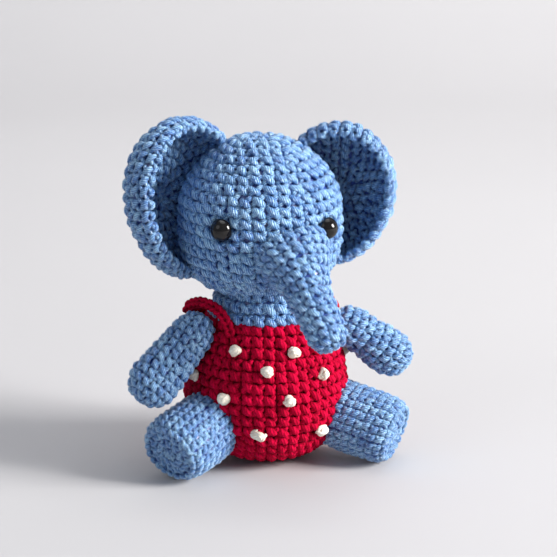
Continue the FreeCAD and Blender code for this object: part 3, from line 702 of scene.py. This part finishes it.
KNOTS = [(-41.2, 45.8), (7.1, 45.4), (-74.7, 34.3), (-15.0, 39.6), (29.4, 36.7), (-45.5, 29.1),
         (0.6, 29.2), (-21.1, 16.7), (29.4, 15.8), (57.0, 44.5), (87.0, 37.5), (104.0, 45.0),
         (116.0, 27.0), (137.0, 39.5), (146.0, 16.5), (165.0, 31.5), (176.0, 45.0), (201.0, 32.5),
         (214.0, 16.0), (221.0, 44.0), (240.0, 28.0), (253.0, 42.0), (103.5, 14.5), (262.0, 15.5)]
b = Builder()
g = np.random.default_rng(81)
for k, (ang, z) in enumerate(KNOTS):
    a = math.radians(ang)
    r = float(np.interp(66 - z, body.along, body.radius))
    flat_wide = 1.35 if k in (7, 8) else 1.0
    r0 = float(np.interp(66 - z + 1, body.along, body.radius))
    n = np.array([math.sin(a), -math.cos(a), 0.0]) + np.array([0, 0, 1.0]) * (r0 - r)
    n = n / np.linalg.norm(n)
    tx = unit(np.cross((0, 0, 1.0), n)) * -1
    ty = np.cross(n, tx)
    phi = a + math.atan2(0.25, 0.97)
    fuller = belly(float(np.interp(66 - z, body.along, body.u)) / body.length, phi)[1]
    e1, e2 = unit(np.array([-0.25, -0.97, 0.0])), unit(np.array([0.97, -0.25, 0.0]))
    c = r * (math.cos(phi) * e1 + fuller * math.sin(phi) * e2) + np.array([0, 0, z]) + n * 0.9
    spin, tilt = g.uniform(0, TAU), g.uniform(-0.35, 0.35)
    m = 40
    q = np.linspace(0, 1, m)
    turns = g.uniform(1.9, 2.5)
    th = spin + q * turns * TAU
    rad = (1.55 - 0.95 * q) * g.uniform(0.95, 1.10)
    hh = -0.6 + 1.7 * q + 0.3 * np.sin(q * 9 + spin)
    hh[0], hh[-1] = -1.6, 0.2
    tri = 1 + 0.16 * np.cos(3 * th + g.uniform(0, TAU))
    x = rad * tri * np.cos(th) * flat_wide * g.uniform(0.88, 1.15)
    y = rad * tri * np.sin(th) * g.uniform(0.85, 1.10)
    pos = c + x[:, None] * tx + y[:, None] * ty + (hh + tilt * x)[:, None] * n
    rr = 0.92 * (0.7 + 0.3 * np.sin(math.pi * np.clip(q, 0.02, 0.98)) ** 0.5) * g.uniform(0.95, 1.1) * (1 + 0.06 * np.sin(q * 23))
    b.tubes(pos[None], np.broadcast_to(n, pos.shape)[None], rr[None], 0.95, 8, np.array([g.uniform()]), twist=1.0)
    # a small loop over the top, and the stitch that goes down beside it
    th2 = g.uniform(0, TAU) if k not in (7, 8) else 0.0
    e = np.array([math.cos(th2), math.sin(th2)])
    w = np.linspace(-1, 1, 12)
    pos = c + (w * 1.9 * e[0] * flat_wide)[:, None] * tx + (w * 1.9 * e[1])[:, None] * ty \
        + (1.75 * (1 - w ** 2) ** 0.6 - 0.7)[:, None] * n
    b.tubes(pos[None], np.broadcast_to(n, pos.shape)[None], (0.70 + 0.24 * (1 - w ** 2))[None], 0.9, 8,
            np.array([g.uniform()]), twist=-1.0)
b.make("knots_white", WHITE, "torso", ["knots"])

b = Builder()
g = np.random.default_rng(85)
nn_ = 22
i = np.arange(nn_)
th = i / nn_ * TAU
ctrl = np.array([(-0.5, 1.5, -2.6), (-0.35, 1.3, -0.6), (-0.05, 0.2, 0.9), (0.25, -1.0, 0.6), (0.5, -1.6, -1.6)])
c = spread(np.repeat(ctrl[None], nn_, 0) + g.normal(0, 0.06, (nn_, 5, 3)), 10)
ang = th[:, None] + c[..., 0] * TAU / nn_ * 1.3
rad = 12.2 + c[..., 2] * 0.8
mid = np.array([HEAD[0], HEAD[1], 62.15])
pos = mid + np.stack([rad * np.sin(ang), -rad * np.cos(ang), c[..., 1]], -1)
nor = np.stack([np.sin(ang), -np.cos(ang), 0 * ang], -1)
b.tubes(pos, nor, np.full(pos.shape[:2], 0.85), 0.9, 8, g.uniform(0, 1, nn_))
t = np.arange(48) * TAU / 48
rows = []
for rr_, zz in ((9.2, -1.2), (10.6, -1.5), (11.6, -0.8), (11.8, 0.2), (11.3, 1.1), (10.2, 1.5), (9.0, 1.1)):
    rows.append(mid + np.stack([rr_ * np.sin(t), -rr_ * np.cos(t), np.full(48, zz)], -1))
b.skin(np.array(rows)[::-1])
b.make("neck_whipstitch", BLUE, "neck", ["neck_seam"])

tail = Tube([(0, 2.6), (3, 2.5), (10, 2.1), (16, 2.2), (18.5, 3.3), (21, 3.6), (23, 2.6), (24, 0)],
            [(0, 27.6, 21.6), (1.0, 34.0, 18.0), (2.4, 40.6, 13.6), (3.5, 46.0, 9.5), (4.2, 49.0, 7.0)], (0, 0.4, 1),
            lumps=0.1, seed=91)
b = Builder()
crochet(b, tail, 3.1, 3.1, seed=92, first=4, size=0.9)
skin_of(b, tail, 1.1, rows=24, cols=20)
b.make("tail_crochet", BLUE, "tail", ["tail"])

# ------------------------------------------------------------------ floor, light and camera
def floor_material():
    m, nt, p = nodes_of("floor_mat")
    tc = node(nt, "ShaderNodeTexCoord")
    n1 = node(nt, "ShaderNodeTexNoise")
    n1.inputs["Scale"].default_value = 3.0
    nt.links.new(tc.outputs["Object"], n1.inputs["Vector"])
    ramp = node(nt, "ShaderNodeValToRGB")
    ramp.color_ramp.elements[0].color = (*srgb(193, 191, 192), 1)
    ramp.color_ramp.elements[1].color = (*srgb(199, 197, 198), 1)
    nt.links.new(n1.outputs["Fac"], ramp.inputs["Fac"])
    nt.links.new(ramp.outputs["Color"], p.inputs["Base Color"])
    p.inputs["Roughness"].default_value = 0.75
    p.inputs["Specular IOR Level"].default_value = 0.25
    return m


def backdrop():
    """A pale floor that curves up into a wall behind the object."""
    prof = [(-3.0, 0.0), (0.75, 0.0)]
    for k in range(1, 17):
        a = k / 16 * math.pi / 2
        prof.append((0.75 + 0.6 * math.sin(a), 0.6 - 0.6 * math.cos(a)))
    prof.append((1.35, 3.0))
    az = math.radians(-14.5)
    ax = np.array([-math.sin(az), math.cos(az)])
    side = np.array([ax[1], -ax[0]])
    v, f = [], []
    for d, z in prof:
        for s in (-4.0, 4.0):
            q = ax * d + side * s
            v.append((q[0], q[1], z))
    for i in range(len(prof) - 1):
        f.append((2 * i, 2 * i + 1, 2 * i + 3, 2 * i + 2))
    me = bpy.data.meshes.new("backdrop")
    me.from_pydata(v, [], f)
    for q in me.polygons:
        q.use_smooth = True
    me.materials.append(floor_material())
    ob = bpy.data.objects.new("backdrop", me)
    bpy.context.scene.collection.objects.link(ob)
    return ob


backdrop()


def area(name, at, aim, size, power, colour=(1, 1, 1), spread=math.pi):
    li = bpy.data.lights.new(name, "AREA")
    li.shape = "DISK"
    li.size = size
    li.energy = power
    li.color = colour
    li.spread = spread
    ob = bpy.data.objects.new(name, li)
    ob.location = at
    from mathutils import Vector
    ob.rotation_euler = (Vector(aim) - Vector(at)).to_track_quat("-Z", "Y").to_euler()
    bpy.context.scene.collection.objects.link(ob)
    return ob


target = np.array([0.0039, 0.0, 0.066])
toward = np.array([-0.2418, -0.9351, 0.2588])
right = np.cross((0, 0, 1), toward)
right = right / np.linalg.norm(right)
up = np.array([0, 0, 1.0])
front = np.cross(right, up) * -1
front = toward * [1, 1, 0] / np.linalg.norm(toward[:2])
spot = lambda r, f, u: tuple(target + right * r + front * f + up * u)
key = area("key", spot(2.5, 0.55, 1.08), tuple(target), 0.5, 122.0, (1.0, 0.985, 0.965))
key.data.shape = "RECTANGLE"
key.data.size, key.data.size_y = 0.9, 1.3
window = area("window", spot(0.95, 0.42, 0.50), tuple(target), 0.3, 5.5, (1.0, 0.99, 0.98))
window.data.shape = "RECTANGLE"
window.data.size, window.data.size_y = 0.16, 0.36
area("wall_light", spot(0.0, -0.4, 1.0), tuple(spot(0.0, -1.3, 0.35)), 0.8, 3.5, (1.0, 1.0, 1.0))
area("fill", spot(-0.9, 0.8, 0.8), tuple(target), 0.9, 2.0, (0.95, 0.97, 1.0))
area("top", spot(0.1, -0.1, 1.1), tuple(target), 0.8, 2.5, (1.0, 1.0, 1.0))
world = bpy.data.worlds.new("studio")
world.use_nodes = True
world.node_tree.nodes["Background"].inputs[0].default_value = (0.79, 0.87, 0.98, 1)
world.node_tree.nodes["Background"].inputs[1].default_value = 0.36
bpy.context.scene.world = world

cam = bpy.data.cameras.new("camera")
cam.sensor_width = 36.0
cam.lens = 125.7
ob = bpy.data.objects.new("camera", cam)
from mathutils import Vector
ob.location = tuple(target + toward / np.linalg.norm(toward) * 0.7)
ob.rotation_euler = Vector(-toward).to_track_quat("-Z", "Y").to_euler()
bpy.context.scene.collection.objects.link(ob)
bpy.context.scene.camera = ob
bpy.context.scene.view_settings.view_transform = "Standard"
